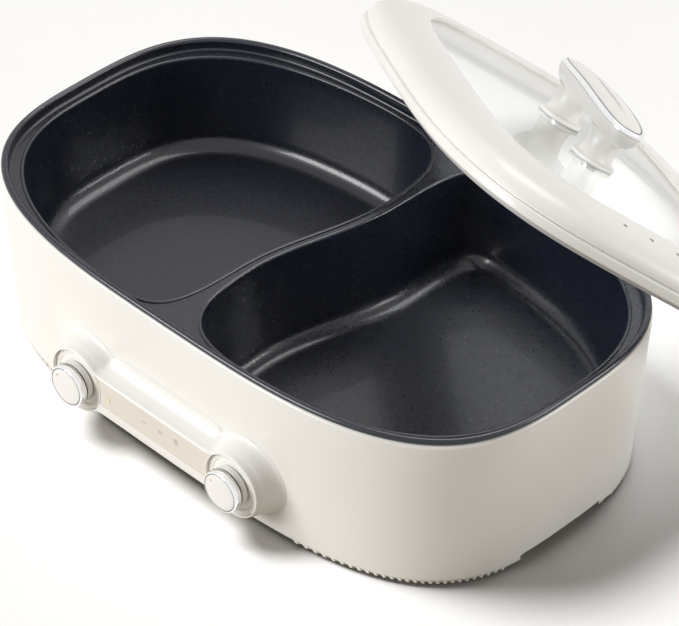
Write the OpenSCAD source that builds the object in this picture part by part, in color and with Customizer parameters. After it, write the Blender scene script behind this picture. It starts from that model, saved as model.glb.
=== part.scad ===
// Electric hot pot with two wells and a loose domed lid.
// The lid is taken off: it stands on its low corner behind the pot and leans over the rim.
// Frame: X along the body, Y to the back, Z up, origin under the middle of the body on the table.

/* [Body] */
// Length of the body at the rim
body_l = 442; // [400:1:480]
// Width of the body at the rim
body_w = 271; // [250:1:300]
// Height of the pot rim above the table
rim_h = 124; // [115:1:140]
// Squareness of the rounded outline, 2 is an ellipse
corner_n = 3.15; // [2.8:0.05:3.6]
// How far the wall draws in at the skirt, on each side
body_taper = 6.5; // [3:0.5:9]
// Wall of the outer shell
shell_t = 3; // [2.5:0.1:4]
// Height of the skirt edge above the table
skirt_h = 5; // [4:0.5:7]

/* [Pot] */
// Width of the rolled bead round the pot
bead_w = 4.4; // [3.8:0.1:5]
// Height of the bead above the shell
bead_h = 3.3; // [2.5:0.1:4]
// Drop from the bead to the ledge
ledge_drop = 8; // [6:0.5:11]
// Width of the ledge at the ends
ledge_end = 6.6; // [5:0.2:9]
// Width of the ledge along the sides
ledge_side = 4.6; // [4:0.2:7]
// Squareness of the well outline
well_n = 2.9; // [2.6:0.05:3.3]
// Depth of the wells below the ledge
well_depth = 68; // [55:1:72]
// How far the well wall draws in at its foot
well_taper = 6; // [3:0.5:9]
// Fillet at the foot of the well wall
well_fillet = 13; // [8:1:16]
// Wall of the wells
pot_t = 2.5; // [2:0.1:3]
// Height of the thin lip round each well
lip_h = 0.9; // [0.5:0.1:1.5]
// Thickness of the divider between the wells
divider_t = 8; // [6.8:0.1:12]
// Sideways swing of the S-shaped divider
divider_swing = 9.5; // [5:0.5:14]
// Half the length over which the divider swings
divider_half = 58; // [45:1:70]

/* [Heating] */
// Radius of each heater plate
heater_r = 72; // [65:1:76]
// Thickness of each heater plate
heater_t = 6; // [5:0.5:8]
// Distance of each heater from the middle of the body
heater_x = 104; // [98:1:108]
// Radius of the heating element's ring
element_r = 50; // [44:1:52]
// Radius of the element's tube
element_tube_r = 3.5; // [3:0.1:4]
// Thickness of the heat shield
shield_t = 0.8; // [0.5:0.1:1.5]
// Height of the heat shield above the table
shield_z = 23; // [20:0.5:25]

/* [Controls] */
// Distance of each knob from the middle of the body
knob_x = 69.5; // [62:0.5:75]
// Height of the knob axis above the table
knob_z = 42; // [40:0.5:46]
// How far the housing's front face stands out from the body's side
panel_out = 10.5; // [8.5:0.5:14.5]
// Radius of the round ends of the housing
pod_r = 25.5; // [24:0.5:28]
// Half the height of the neck between them
neck_h = 15.8; // [14:0.2:17]
// Radius of the curve from neck to round end
neck_fillet = 14; // [12:0.5:20]
// Radius of the knob
knob_r = 14.4; // [12:0.2:16]
// Length of the knob
knob_len = 10.8; // [9.6:0.2:13]
// Radius of the dial ring
dial_r = 20.8; // [18:0.2:22]
// Radius of the switch shaft
shaft_r = 3; // [2.5:0.1:3.5]
// Turn of the knob's dot away from the top, to the left
knob_dot_turn = 51; // [0:1:90]

/* [Lid] */
// Overlap left between the lid edge and the outside of the rim
lid_inset = 4; // [3.5:0.1:5]
// Height of the lid frame
lid_h = 25.2; // [22:0.2:30]
// Width of the frame round the window
frame_w = 42.5; // [38:0.5:50]
// Squareness of the window
window_n = 4; // [3.4:0.1:4.6]
// Thickness of the glass
glass_t = 4; // [3:0.5:5]
// Height of the seal below the frame
seal_h = 3; // [2:0.5:4]
// Half the distance between the handle's pillars
pillar_x = 44; // [38:1:46]
// Half the length of the handle
handle_l = 75; // [70:1:80]
// Half the width of the handle
handle_w = 18; // [16:0.5:20]
// Height of the handle's top edge above the lid's lower edge
handle_h = 53; // [50:1:60]
// Rise of the handle towards its middle
handle_arch = 3; // [1:0.5:5]

/* [Leaning lid] */
// Tip of the lid about its long axis, towards the back
lean_tip = 35; // [35:0.5:37]
// Rise of the lid's right end
lean_pitch = 18.4; // [18:0.2:19]
// Turn of the lid, seen from above
lean_turn = 34.5; // [33:0.5:36]
// Place of the lid's middle along the body
lean_x = 55.1; // [54:0.5:58]
// Place of the lid's middle behind the body's middle
lean_y = 159.9; // [158:0.5:162]

/* [Hidden] */

$fn = 64;
ring_n = 96;                       // points round the body
lid_n = 84;                        // points round the lid
well_pts = 72;                     // points round a well
play = 0.3;                        // gap between pieces that only lie side by side
fit = 0.1;                         // running clearance, on the radius
eps = 0.01;

shell_top = rim_h - bead_h;
gasket_t = 0.8;
ledge_z = rim_h - ledge_drop;
collar_t = 1.4;
bead_in = 1;                       // bead's outer edge, inside the shell's
collar_in = bead_in + bead_w;      // inner face of the collar, from the body's outline
well_a = body_l / 2 - collar_in - ledge_end;
well_b = body_w / 2 - collar_in - ledge_side;
well_floor = ledge_z - well_depth;
well_bottom = well_floor - pot_t;
well_mid = 100;                    // centre from which a well's outline is drawn
lid_a = body_l / 2 - lid_inset;
lid_b = body_w / 2 - lid_inset + 0.5;
seal_inset = 6.2;
seal_w = 4.3;

cream = "#efe9df";
dark_pot = "#23262f";
steel = "#c9cbcf";

// ---- outlines -------------------------------------------------------------

function sgn(v) = v < 0 ? -1 : 1;
function side_pow(v, p) = sgn(v) * pow(abs(v), p);

// A rounded outline of half sizes a and b, as points at height z
function outline(a, b, n, z, m) =
    [for (i = [0:m - 1]) let (t = 360 * i / m)
        [a * side_pow(cos(t), 2 / n), b * side_pow(sin(t), 2 / n), z]];

// The body's outline drawn in by "inset", with the wall's taper at height z
function taper_at(z) = body_taper * (rim_h - max(z, skirt_h)) / (rim_h - skirt_h);
function body_ring(inset, z) =
    outline(body_l / 2 - inset, body_w / 2 - inset, corner_n, z, ring_n);
function wall_ring(inset, z) = body_ring(inset + taper_at(z), z);

function flat(points) = [for (p = points) [p[0], p[1]]];

// The S-shaped middle line of the divider
function divider_x(y) = divider_swing * sin(90 * max(-1, min(1, y / divider_half)));

// How far a point is out from the middle of the left well: 1 is the edge.
// The divider and the outer curve meet in a corner that is tighter at the front.
function well_reach(x, y) =
    let (outer = pow(pow(abs(x) / well_a, well_n) + pow(abs(y) / well_b, well_n), 1 / well_n),
         inner = max(0, (x + well_mid) / (divider_x(y) - divider_t / 2 + well_mid)),
         tight = 6 - y / well_b)
    pow(pow(outer, tight) + pow(inner, tight), 1 / tight);

function well_radius(t, near = 20, far = 260, steps = 22) =
    steps == 0 ? (near + far) / 2
    : let (mid = (near + far) / 2)
      well_reach(mid * cos(t) - well_mid, mid * sin(t)) < 1
      ? well_radius(t, mid, far, steps - 1)
      : well_radius(t, near, mid, steps - 1);

left_well = [for (i = [0:well_pts - 1]) let (t = 360 * i / well_pts, r = well_radius(t))
    [r * cos(t) - well_mid, r * sin(t)]];

// A closed outline drawn in by d along its own normals
function drawn_in(points, d) =
    [for (i = [0:len(points) - 1])
        let (m = len(points), before = points[(i + m - 1) % m], after = points[(i + 1) % m],
             run = after - before, size = norm(run))
        [points[i][0] - d * run[1] / size, points[i][1] + d * run[0] / size]];
function well_ring(inset, z) = [for (p = drawn_in(left_well, inset)) [p[0], p[1], z]];

// The dog-bone front of the control housing, grown by g, its neck by spread as well
throat = sqrt(pow(pod_r + neck_fillet, 2) - pow(neck_h + neck_fillet, 2));
throat_turn = atan2(neck_h + neck_fillet, throat);
function arc(x, z, r, from, to, steps) =
    [for (i = [0:steps]) let (t = from + (to - from) * i / steps) [x + r * cos(t), z + r * sin(t)]];
function neck_side(g, spread) = let (fillet = arc(knob_x - throat, neck_h + neck_fillet, neck_fillet - g,
                                                -throat_turn, -90, 7))
    [for (i = [0:7]) fillet[i] + [0, spread * (1 - cos(180 * i / 7)) / 2]];
function across(points) = [for (i = [len(points) - 1:-1:0]) [-points[i][0], points[i][1]]];
function dogbone(g, spread = 0) =
    let (up = neck_side(g, spread), middle = [for (x = [24, 0, -24]) [x, neck_h + g + spread]],
         top = concat(up, middle, across(up)))
    concat(arc(knob_x, 0, pod_r + g, throat_turn - 180, 180 - throat_turn, 28), top,
           arc(-knob_x, 0, pod_r + g, throat_turn, 360 - throat_turn, 28),
           [for (p = top) [-p[0], -p[1]]]);

// ---- solids from rings ------------------------------------------------------

function band(m, low, high) =
    [for (i = [0:m - 1]) let (j = (i + 1) % m)
        each [[low * m + i, high * m + i, high * m + j], [low * m + i, high * m + j, low * m + j]]];
function joined(rings) = [for (r = rings) each r];

// A solid with a flat end under its first ring and over its last one
module stack(rings) {
    m = len(rings[0]);
    n = len(rings);
    polyhedron(joined(rings), concat(
        [[for (i = [0:m - 1]) i]],
        [for (k = [0:n - 2]) each band(m, k, k + 1)],
        [[for (i = [m - 1:-1:0]) (n - 1) * m + i]]));
}

// The same for rings that aren't flat: each end closes in triangles round a middle point
module arched_stack(rings) {
    m = len(rings[0]);
    n = len(rings);
    polyhedron(concat(joined(rings), [middle(rings[0]), middle(rings[n - 1])]), concat(
        [for (i = [0:m - 1]) [i, (i + 1) % m, n * m]],
        [for (k = [0:n - 2]) each band(m, k, k + 1)],
        [for (i = [0:m - 1]) [(n - 1) * m + (i + 1) % m, (n - 1) * m + i, n * m + 1]]));
}
function middle(ring) = [for (c = [0:2]) [for (p = ring) p[c]] * [for (p = ring) 1] / len(ring)];

// A closed hoop: the rings run up the outside and back down the inside
module hoop(rings) {
    m = len(rings[0]);
    n = len(rings);
    polyhedron(joined(rings), [for (k = [0:n - 1]) each band(m, k, (k + 1) % n)]);
}

// A flat plate between an outline and the outlines of its holes
module plate(outer, holes, z, t) {
    sizes = concat([len(outer)], [for (h = holes) len(h)]);
    starts = [for (k = 0, s = 0; k < len(sizes); s = s + sizes[k], k = k + 1) s];
    translate([0, 0, z]) linear_extrude(t)
        polygon(concat(outer, joined(holes)),
                [for (k = [0:len(sizes) - 1]) [for (i = [0:sizes[k] - 1]) starts[k] + i]]);
}

// Places its children on both sides, left and right
module both_sides(x) {
    for (s = [-1, 1]) translate([s * x, 0, 0]) children();
}

// Turns a part drawn along +Z so that it points to the front, on the knob axis
module facing_front(x, y) {
    translate([x, -y, knob_z]) rotate([90, 0, 0]) children();
}

// ---- shell and cover --------------------------------------------------------

boss_r = 5;
screw_r = 1.8;
cover_t = 2.5;
cover_z = skirt_h - cover_t;       // underside of the cover
boss_h = 22;
corner_boss = [body_l / 2 - 53, body_w / 2 - 36.5];
side_boss = [76, body_w / 2 - 14.5];
boss_at = [for (b = [corner_boss, side_boss], sx = [-1, 1], sy = [1, -1]) [sx * b[0], sy * b[1]]];
grip_w = 72;
grip_slope = 9;
grip_h = 4.8;
pocket_depth = 15;
inlet_w = 34;
inlet_h = 24;
inlet_z = 32;
screw_x = [14, 36];                // housing screws, either side of the middle

module grip_arch() {
    half = grip_w / 2;
    rotate([90, 0, 90]) translate([0, 0, -body_l]) linear_extrude(2 * body_l)
        polygon([[-half - grip_slope, skirt_h - 1], [half + grip_slope, skirt_h - 1],
                 [half + grip_slope, skirt_h], [half, skirt_h + grip_h],
                 [-half, skirt_h + grip_h], [-half - grip_slope, skirt_h]]);
}

module outer_shell() color(cream) {
    difference() {
        union() {
            hoop([wall_ring(0.9, skirt_h), wall_ring(0, skirt_h + 1.4), wall_ring(0, shell_top - 4),
                  wall_ring(0.5, shell_top - 1.8), wall_ring(1.5, shell_top - gasket_t),
                  wall_ring(shell_t, shell_top - gasket_t), wall_ring(shell_t, skirt_h)]);
            for (p = boss_at) translate([p[0], p[1], skirt_h]) cylinder(h = boss_h, r = boss_r);
        }
        grip_arch();
        for (p = boss_at) translate([p[0], p[1], cover_z]) cylinder(h = boss_h, r = screw_r);
        for (s = [-1, 1]) facing_front(s * knob_x, body_w / 2 - 20) cylinder(h = 40, r = switch_r + 1);
        for (s = [-1, 1], x = screw_x) facing_front(s * x, body_w / 2 - 20) cylinder(h = 40, r = screw_r + 0.2);
        translate([-inlet_w / 2 - play, body_w / 2 - 20, inlet_z - inlet_h / 2 - play])
            cube([inlet_w + 2 * play, 40, inlet_h + 2 * play]);
    }
}

// The cover's edge shows under the skirt as a row of small teeth round the corners
tooth_d = 1.3;
tooth_count = 27;
teeth_between = [[12, 72], [108, 168], [192, 252], [288, 348]];  // turns round the outline
function on_cover(t, inset) =
    [(body_l / 2 - body_taper - inset) * side_pow(cos(t), 2 / corner_n),
     (body_w / 2 - body_taper - inset) * side_pow(sin(t), 2 / corner_n)];
function toothed(from, to) =
    [for (i = [0:tooth_count - 1], e = [0:3])
        on_cover(from + (to - from) * (i + [0, 0.3, 0.5, 0.8][e]) / tooth_count,
                 1 + (e == 1 || e == 2 ? 0 : tooth_d))];
function plain(from, to) = [for (i = [0:9]) on_cover(from + (to - from) * i / 10, 1 + tooth_d)];
cover_edge = [for (k = [0:3]) each concat(
    toothed(teeth_between[k][0], teeth_between[k][1]),
    plain(teeth_between[k][1], k < 3 ? teeth_between[k + 1][0] : 360 + teeth_between[0][0]))];

end_post = body_l / 2 - 35;
side_post = [60, body_w / 2 - 47.5];
post_at = [[-end_post, 0], [end_post, 0], [-side_post[0], side_post[1]], side_post, -side_post,
           [side_post[0], -side_post[1]]];
foot_place = [body_l / 2 - 63, body_w / 2 - 57.5];
foot_at = [for (sx = [-1, 1], sy = [-1, 1]) [sx * foot_place[0], sy * foot_place[1]]];
foot_r = 10;
foot_stem_r = 3.5;

pocket_in = body_l / 2 - body_taper - pocket_depth;
pocket_out = body_l / 2 - body_taper - shell_t - 2;
pocket_top = skirt_h + grip_h;
pocket_wall = 2;
collar_gap = 3.2;                  // from the shell's inside to the cover's collar

module bottom_cover() color(cream) {
    collar = flat(outline(body_l / 2 - body_taper - shell_t - collar_gap,
                          body_w / 2 - body_taper - shell_t - collar_gap, corner_n, 0, 48));
    difference() {
        union() {
            plate(cover_edge, [], cover_z, cover_t);
            difference() {
                plate(collar, [[for (p = collar) p * 0.985]], skirt_h - eps, 7);
                for (p = boss_at) translate([p[0], p[1], skirt_h]) cylinder(h = boss_h, r = boss_r + play);
            }
            for (p = post_at) translate([p[0], p[1], cover_z]) cylinder(h = shield_z - cover_z, r = 5);
            for (s = [0, 180]) rotate([0, 0, s])
                translate([pocket_in - pocket_wall, -grip_w / 2 - pocket_wall, cover_z])
                cube([pocket_out - pocket_in + pocket_wall, grip_w + 2 * pocket_wall,
                      pocket_top + pocket_wall - cover_z]);
        }
        for (s = [0, 180]) rotate([0, 0, s])
            translate([pocket_in, -grip_w / 2, 0]) cube([pocket_depth * 2, grip_w, pocket_top]);
        for (p = boss_at) translate([p[0], p[1], 0]) cylinder(h = 20, r = screw_r + 0.2);
        for (p = boss_at) translate([p[0], p[1], 0]) cylinder(h = cover_z + 1.2, r = 3.8);
        for (p = foot_at) translate([p[0], p[1], 0]) cylinder(h = 20, r = foot_stem_r + fit);
        for (p = post_at) translate([p[0], p[1], shield_z - 10]) cylinder(h = 11, r = screw_r - 0.3);
        for (s = [-1, 1], x = [0:6], y = [-1, 1])
            translate([s * (56 + 13 * x), y * 30, 0]) vent_slot();
    }
}

module vent_slot() {
    translate([-2, -18, 0]) cube([4, 36, 20]);
    for (y = [-18, 18]) translate([0, y, 0]) cylinder(h = 20, r = 2);
}

module foot_pads() color("#4a4c50") {
    for (p = foot_at) translate([p[0], p[1], 0]) rotate_extrude()
        polygon([[0, 0], [foot_r - 0.8, 0], [foot_r, 0.8], [foot_r, cover_z], [foot_stem_r, cover_z],
                 [foot_stem_r, cover_z + cover_t + 0.2], [foot_stem_r + 1, cover_z + cover_t + 0.2],
                 [foot_stem_r - 0.5, cover_z + cover_t + 3], [0, cover_z + cover_t + 3]]);
}

module screw(length, head_r, head_h, r) {
    difference() {
        union() {
            cylinder(h = length, r = r);
            translate([0, 0, -head_h]) cylinder(h = head_h, r = head_r);
        }
        for (a = [0, 90]) rotate([0, 0, a]) translate([-head_r * 0.6, -0.4, -head_h - eps])
            cube([head_r * 1.2, 0.8, head_h * 0.5]);
    }
}

module cover_screws() color(steel) {
    for (p = boss_at) translate([p[0], p[1], cover_z + 1.2]) screw(20, 3.5, 1.2, screw_r - 0.05);
}

// ---- pot --------------------------------------------------------------------

module well_cup() {
    rings_up = [for (a = [0, 30, 60, 90])
        [well_taper + well_fillet - (well_fillet + pot_t) * sin(a),
         well_floor + well_fillet - (well_fillet + pot_t) * cos(a)]];
    rings_down = [for (a = [90, 60, 30, 0])
        [well_taper + well_fillet - well_fillet * sin(a),
         well_floor + well_fillet - well_fillet * cos(a)]];
    lip = [[-pot_t, ledge_z - pot_t - 1], [-pot_t + 0.2, ledge_z + lip_h * 0.5], [-pot_t + 1, ledge_z + lip_h],
           [-0.6, ledge_z + lip_h], [0, ledge_z + lip_h * 0.5]];
    stack([for (p = concat(rings_up, lip, rings_down)) well_ring(p[0], p[1])]);
}

module inner_pot() color(dark_pot) {
    top = rim_h;
    low = shell_top;
    hole = drawn_in(left_well, -pot_t / 2);
    hoop([body_ring(collar_in - collar_t, ledge_z - pot_t - 0.5), body_ring(collar_in - collar_t, low),
          body_ring(bead_in + 0.3, low), body_ring(bead_in, low + 0.9), body_ring(bead_in + 0.5, top - 0.8),
          body_ring(bead_in + 1.5, top - 0.1), body_ring(bead_in + 2.6, top - 0.1),
          body_ring(bead_in + 3.8, top - 0.9), body_ring(collar_in, top - 2.2),
          body_ring(collar_in, ledge_z - pot_t - 0.5)]);
    plate(flat(body_ring(collar_in - collar_t / 2, 0)), [hole, [for (p = hole) -p]], ledge_z - pot_t, pot_t);
    well_cup();
    rotate([0, 0, 180]) well_cup();
}

module rim_gasket() color("#8a8c90") {
    plate(flat(wall_ring(1.7, shell_top)), [flat(wall_ring(3.2, shell_top))], shell_top - gasket_t, gasket_t);
}

// ---- heating ----------------------------------------------------------------

stud_at = [for (sx = [-1, 1], sy = [-1, 1]) [sx * 43, sy * 43]];
stud_r = 2;
plate_z = well_bottom - heater_t;
clamp_z = plate_z - element_tube_r - 2;

module heater_plate() color("#a9abae") difference() {
    translate([0, 0, plate_z]) cylinder(h = heater_t, r = heater_r);
    translate([0, 0, plate_z]) rotate_extrude() translate([element_r, 0]) circle(r = element_tube_r + fit);
    for (p = stud_at) translate([p[0], p[1], plate_z - 1]) cylinder(h = heater_t + 2, r = stud_r + 0.2);
}

// The element is an open ring with a straight leg down at each end
module heating_element() color("#6f7278") {
    gap = 24;
    translate([0, 0, plate_z]) {
        rotate([0, 0, gap / 2]) rotate_extrude(angle = 360 - gap) translate([element_r, 0]) circle(r = element_tube_r);
        for (s = [-1, 1]) rotate([0, 0, s * (gap / 2 + 3)]) translate([element_r, 0, -8])
            cylinder(h = 8, r = element_tube_r * 0.6);
    }
}

module heater_clamp() color(steel) difference() {
    for (s = [-1, 1]) translate([s * 43 - 7, -52, clamp_z]) cube([14, 104, 2]);
    for (p = stud_at) translate([p[0], p[1], clamp_z - 1]) cylinder(h = 4, r = stud_r + 0.2);
}

module heater_plate_left() translate([-heater_x, 0, 0]) heater_plate();
module heater_plate_right() translate([heater_x, 0, 0]) heater_plate();
module heating_element_left() translate([-heater_x, 0, 0]) rotate([0, 0, 90]) heating_element();
module heating_element_right() translate([heater_x, 0, 0]) rotate([0, 0, 90]) heating_element();
module heater_clamp_left() translate([-heater_x, 0, 0]) heater_clamp();
module heater_clamp_right() translate([heater_x, 0, 0]) heater_clamp();

module heater_studs() color(steel) both_sides(heater_x) for (p = stud_at)
    translate([p[0], p[1], clamp_z - 5]) cylinder(h = well_bottom - clamp_z + 5, r = stud_r);

module heater_nuts() color(steel) both_sides(heater_x) for (p = stud_at)
    translate([p[0], p[1], clamp_z - 3]) difference() {
        cylinder(h = 3, r = 4, $fn = 6);
        translate([0, 0, -1]) cylinder(h = 5, r = stud_r + 0.05);
    }

module thermostat() color("#c8b48a") {
    translate([0, 0, plate_z - 2]) cylinder(h = 2, r = 12);
    translate([0, 0, plate_z - 9]) cylinder(h = 7, r = 8.5);
    for (s = [-1, 1]) translate([s * 5 - 0.4, -3, plate_z - 13]) cube([0.8, 6, 4]);
}
module thermostat_left() translate([-heater_x, 0, 0]) thermostat();
module thermostat_right() translate([heater_x, 0, 0]) thermostat();

module heat_shield() color(steel) {
    a = body_l / 2 - body_taper - 18;
    b = body_w / 2 - body_taper - 22;
    edge = flat(outline(a, b, corner_n, 0, 64));
    difference() {
        union() {
            plate(edge, [], shield_z, shield_t);
            plate(edge, [flat(outline(a - shield_t, b - shield_t, corner_n, 0, 64))], shield_z, 4.5);
        }
        for (p = post_at) translate([p[0], p[1], shield_z - 1]) cylinder(h = 4, r = screw_r + 0.2);
        translate([0, 0, shield_z - 1]) cylinder(h = 4, r = 12);
    }
}

module shield_screws() color(steel) for (p = post_at)
    translate([p[0], p[1], shield_z + shield_t]) rotate([180, 0, 0]) screw(9, 3.5, 1.6, screw_r - 0.35);

// ---- controls ---------------------------------------------------------------

panel_y = body_w / 2 + panel_out;
switch_r = 13;
switch_len = 15;
front_wall = 2.4;
recess_t = 4.5;                    // depth of the dial's recess
dial_t = 1.9;
bushing_r = 4.8;
insert_t = 1.2;
insert_edge = 4.1;
insert_low = -6.8;                 // the insert's lower edge, from the knobs' axis
lens_up = 1;
insert_end = 54;
lens_x = 40;
post_y = body_w / 2 - taper_at(knob_z) + play;

// The housing's rings stand on the shell's wall at share 0 and are flat, "front" out, at share 1
function wall_y(x, z) = let (a = body_l / 2 - taper_at(z), b = body_w / 2 - taper_at(z))
    b * pow(1 - pow(abs(x) / a, corner_n), 1 / corner_n) + fit;
function housing_ring(g, spread, share, front) = [for (p = dogbone(g, spread))
    let (z = knob_z + p[1], w = wall_y(p[0], z)) [p[0], -w - share * (front - w), z]];
neck_spread = 1.2;                 // how much less the neck narrows than the pods at the front
housing_out = [[4.5, 5.5, 0], [2.8, 4, 0.07], [1.4, 3, 0.2], [0.4, 1.9, 0.36], [-0.5, 1.3, 0.52],
               [-1.1, 1.2, 0.64], [-1.9, 1.4, 0.8], [-2.4, 1.4, 0.92], [-2.9, neck_spread, 1]];
plate_edge = 3.2;                  // width of the housing's rim round the control plate
plate_back = 3.8;                    // and of the ledge that the plate lies on
plate_t = 2.4;
housing_t = 3;
housing_flare = 1;                 // how far the housing's inner wall opens out at the shell

// The panel insert fills the neck between the dial rings, its edges drawn in by d
module insert_shape(t, d) {
    linear_extrude(t) difference() {
        intersection() {
            polygon(dogbone(-insert_edge - d, neck_spread));
            translate([d - insert_end, insert_low + d]) square([2 * (insert_end - d), pod_r]);
        }
        for (s = [-1, 1]) translate([s * knob_x, 0]) circle(r = dial_r + 1.4 + d);
    }
}

module control_housing() color(cream)
    hoop(concat([for (g = housing_out) housing_ring(g[0], g[1], g[2], panel_y)],
                [housing_ring(-plate_edge, neck_spread, 1, panel_y),
                 housing_ring(-plate_edge, neck_spread, 1, panel_y - plate_t),
                 housing_ring(-plate_back, neck_spread, 1, panel_y - plate_t),
                 housing_ring(-plate_back, neck_spread, 1, panel_y - plate_t - 1),
                 housing_ring(-housing_t, neck_spread, 0.55, panel_y),
                 housing_ring(housing_flare, neck_spread, 0, panel_y)]));

// The plate fills the housing's front: a step on its back rests on the ledge, and four
// square posts reach back to the shell for the screws
post_w = 7;
module control_plate() color(cream) difference() {
    union() {
        facing_front(0, panel_y - plate_t + 0.05)
            linear_extrude(plate_t - 0.05) polygon(dogbone(-plate_edge - fit, neck_spread));
        facing_front(0, panel_y - recess_t - front_wall)
            linear_extrude(recess_t + front_wall - plate_t + 1)
                polygon(dogbone(-plate_back - fit, neck_spread));
        for (s = [-1, 1], x = screw_x) facing_front(s * x, post_y) translate([-post_w / 2, -post_w / 2, 0])
            cube([post_w, post_w, panel_y - 3 - post_y]);
    }
    for (s = [-1, 1]) facing_front(s * knob_x, panel_y - recess_t) {
        translate([0, 0, -10]) cylinder(h = 20, r = bushing_r + 0.2);
        cylinder(h = 20, r = dial_r + 0.2);
    }
    facing_front(0, panel_y - insert_t) insert_shape(5, 0);
    facing_front(-lens_x, panel_y - 6) translate([0, lens_up, 0]) cylinder(h = 8, r = 1.8);
    for (s = [-1, 1], x = screw_x) facing_front(s * x, post_y - 1) cylinder(h = 11, r = screw_r);
}

module housing_screws() color(steel) for (s = [-1, 1], x = screw_x)
    facing_front(s * x, body_w / 2 - taper_at(knob_z) - shell_t - play) screw(12, 3.4, 1.8, screw_r - 0.1);

module panel_insert() color("#d8d0c2") difference() {
    facing_front(0, panel_y - insert_t) insert_shape(insert_t - 0.2, 0.1);
    facing_front(-lens_x, panel_y - 6) translate([0, lens_up, 0]) cylinder(h = 9, r = 1.8);
}

module indicator_lens() color("#f2e6b0") facing_front(-lens_x, panel_y - 5.5)
    translate([0, lens_up, 0]) cylinder(h = 5.5, r = 1.6);

module dial_ring(x) color(cream) facing_front(x, panel_y - recess_t) rotate_extrude()
    polygon([[bushing_r + 4, 0], [dial_r, 0], [dial_r, dial_t - 0.3], [dial_r - 0.5, dial_t + 0.3],
             [dial_r - 3.4, dial_t + 0.3], [dial_r - 3.7, dial_t - 0.2], [dial_r - 4.1, dial_t - 0.2],
             [dial_r - 4.4, dial_t + 0.3], [bushing_r + 5, dial_t + 0.3], [bushing_r + 4, dial_t - 0.4]]);
module dial_ring_left() dial_ring(-knob_x);
module dial_ring_right() dial_ring(knob_x);

module rotary_switch(x) color("#3b3d42") facing_front(x, panel_y - recess_t - front_wall - switch_len) {
    difference() {
        union() {
            cylinder(h = switch_len, r = switch_r);
            cylinder(h = switch_len + front_wall + 3, r = bushing_r);
            for (a = [0, 120, 240]) rotate([0, 0, a]) translate([8, -3, -6]) cube([0.8, 6, 7]);
        }
        translate([0, 0, 3]) cylinder(h = 40, r = shaft_r + fit);
    }
}
module rotary_switch_left() rotary_switch(-knob_x);
module rotary_switch_right() rotary_switch(knob_x);

module switch_nuts() color(steel) for (s = [-1, 1])
    facing_front(s * knob_x, panel_y - recess_t) difference() {
        cylinder(h = 2, r = 7.6, $fn = 6);
        translate([0, 0, -1]) cylinder(h = 5, r = bushing_r + 0.1);
    }

knob_back = -1.6;                  // where the knob begins, from the housing's face
knob_wall = 1.6;

module knob_base(x) color(cream) facing_front(x, panel_y + knob_back) difference() {
    cylinder(h = knob_len - 3.2, r = knob_r - knob_wall - 0.05);
    translate([0, 0, -eps]) cylinder(h = 1.6, r = 8.6);
    translate([0, 0, -eps]) cylinder(h = knob_len - 4.4, r = shaft_r + 0.02);
}

module knob_ring(x) color("#dfe1e4") facing_front(x, panel_y + knob_back) rotate_extrude()
    polygon([[knob_r - knob_wall, 0.6], [knob_r - 0.5, 0.6], [knob_r, 1.2], [knob_r, knob_len - 1.4],
             [knob_r - 0.3, knob_len - 0.6], [knob_r - 0.9, knob_len - 0.1], [knob_r - knob_wall, knob_len - 0.1]]);

module knob_cap(x) color("#f6f4ef") facing_front(x, panel_y + knob_back) difference() {
    rotate_extrude() polygon([[0, knob_len - 3.2], [knob_r - knob_wall - 0.05, knob_len - 3.2],
        [knob_r - knob_wall - 0.05, knob_len - 0.4], [knob_r - knob_wall - 0.6, knob_len - 0.05],
        [knob_r * 0.5, knob_len + 0.25], [0, knob_len + 0.35]]);
    rotate([0, 0, knob_dot_turn]) translate([0, knob_r - 5, knob_len - 0.3]) cylinder(h = 2, r = 0.7);
}

module switch_shaft(x) color(steel)
    facing_front(x, panel_y - recess_t - front_wall - switch_len + 4)
        cylinder(h = switch_len - 4 + front_wall + recess_t + knob_back + knob_len - 4.6, r = shaft_r);

module knob_base_left() knob_base(-knob_x);
module knob_ring_left() knob_ring(-knob_x);
module knob_cap_left() knob_cap(-knob_x);
module switch_shaft_left() switch_shaft(-knob_x);
module knob_base_right() knob_base(knob_x);
module knob_ring_right() knob_ring(knob_x);
module knob_cap_right() knob_cap(knob_x);
module switch_shaft_right() switch_shaft(knob_x);

// ---- power ------------------------------------------------------------------

inlet_y = body_w / 2 - taper_at(inlet_z);
inlet_depth = 20;
pin_gap = 0.05;

module at_inlet() translate([0, inlet_y, inlet_z]) children();

module power_inlet() color("#2b2c2f") at_inlet() difference() {
    union() {
        rotate([-atan(body_taper / (rim_h - skirt_h)), 0, 0])
            translate([-inlet_w / 2 - 3, 0.15, -inlet_h / 2 - 3]) cube([inlet_w + 6, 2, inlet_h + 6]);
        translate([-inlet_w / 2, -inlet_depth - 2, -inlet_h / 2]) cube([inlet_w, inlet_depth + 3, inlet_h]);
    }
    translate([-inlet_w / 2 + 4, -inlet_depth + 2, -inlet_h / 2 + 4])
        cube([inlet_w - 8, inlet_depth + 10, inlet_h - 8]);
    for (p = pin_at) translate([p[0] - 1 - pin_gap, -inlet_depth - 5, p[1] - 2 - pin_gap])
        cube([2 + 2 * pin_gap, 20, 4 + 2 * pin_gap]);
}

pin_at = [[-7, -2], [0, 2], [7, -2]];
module inlet_pins() color("#caa64a") at_inlet() for (p = pin_at)
    translate([p[0] - 1, -inlet_depth - 9, p[1] - 2]) cube([2, inlet_depth + 6, 4]);

module terminal_block() color("#e6e2d8") difference() {
    translate([-20, 66, cover_z + cover_t]) cube([40, 18, 13]);
    for (x = [-13, 0, 13], y = [70, 80]) translate([x, y, cover_z + cover_t + 4]) cylinder(h = 20, r = 2);
    for (x = [-13, 0, 13]) translate([x, 60, cover_z + cover_t + 4]) rotate([-90, 0, 0]) cylinder(h = 40, r = 1.5);
}

// ---- lid --------------------------------------------------------------------

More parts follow.
